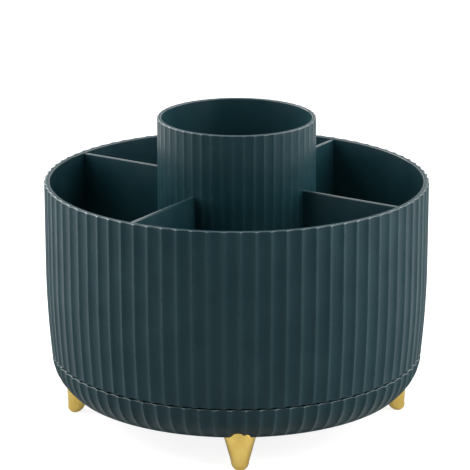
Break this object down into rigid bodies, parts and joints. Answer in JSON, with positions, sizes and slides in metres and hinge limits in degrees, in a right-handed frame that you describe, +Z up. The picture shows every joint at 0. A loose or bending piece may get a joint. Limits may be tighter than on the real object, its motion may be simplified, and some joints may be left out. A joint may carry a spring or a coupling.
{
  "type": "rotating desk caddy",
  "caption": "Rotating round desk caddy with a fluted drum, taller fluted centre cup, radial partitions and a fluted base on splayed gold feet, for pens and small tools.",
  "frame": {"origin": "on the ground, on the axis that the drum turns about", "axes": "+Z up along the axis of rotation, -Y to the front foot, +X to the right foot"},
  "size_m": [0.16, 0.16, 0.1291],
  "materials": {
    "green_plastic": "satin, very dark blue-green",
    "gold_feet": "satin gold plating",
    "zinc_steel": "bright zinc",
    "cage_plastic": "natural white moulding"
  },
  "bodies": {
    "stand": {"base": "green_plastic", "foot_front": "gold_feet", "foot_right": "gold_feet", "foot_back": "gold_feet", "foot_left": "gold_feet", "foot_screw_front": "zinc_steel", "foot_screw_right": "zinc_steel", "foot_screw_back": "zinc_steel", "foot_screw_left": "zinc_steel"},
    "carousel": {"drum": "green_plastic", "centre_cup": "green_plastic", "partition_1": "green_plastic", "partition_2": "green_plastic", "partition_3": "green_plastic", "partition_4": "green_plastic", "cup_screw_1": "zinc_steel", "cup_screw_2": "zinc_steel", "cup_screw_3": "zinc_steel", "pivot_washer": "zinc_steel", "pivot_screw": "zinc_steel"},
    "ball_ring": {"ball_cage": "cage_plastic", "ball_1": "zinc_steel", "ball_2": "zinc_steel", "ball_3": "zinc_steel", "ball_4": "zinc_steel", "ball_5": "zinc_steel", "ball_6": "zinc_steel", "ball_7": "zinc_steel", "ball_8": "zinc_steel", "ball_9": "zinc_steel", "ball_10": "zinc_steel"}
  },
  "joints": [
    {"name": "drum_spin", "type": "hinge", "parent": "stand", "child": "carousel", "pos_m": [0, 0, 0.0284], "axis": [0, 0, 1], "continuous": true},
    {"name": "cage_spin", "type": "hinge", "parent": "stand", "child": "ball_ring", "pos_m": [0, 0, 0.0284], "axis": [0, 0, 1], "continuous": true}
  ],
  "couplings": [
    {"joint": "cage_spin", "follows": "drum_spin", "ratio": 0.5}
  ]
}
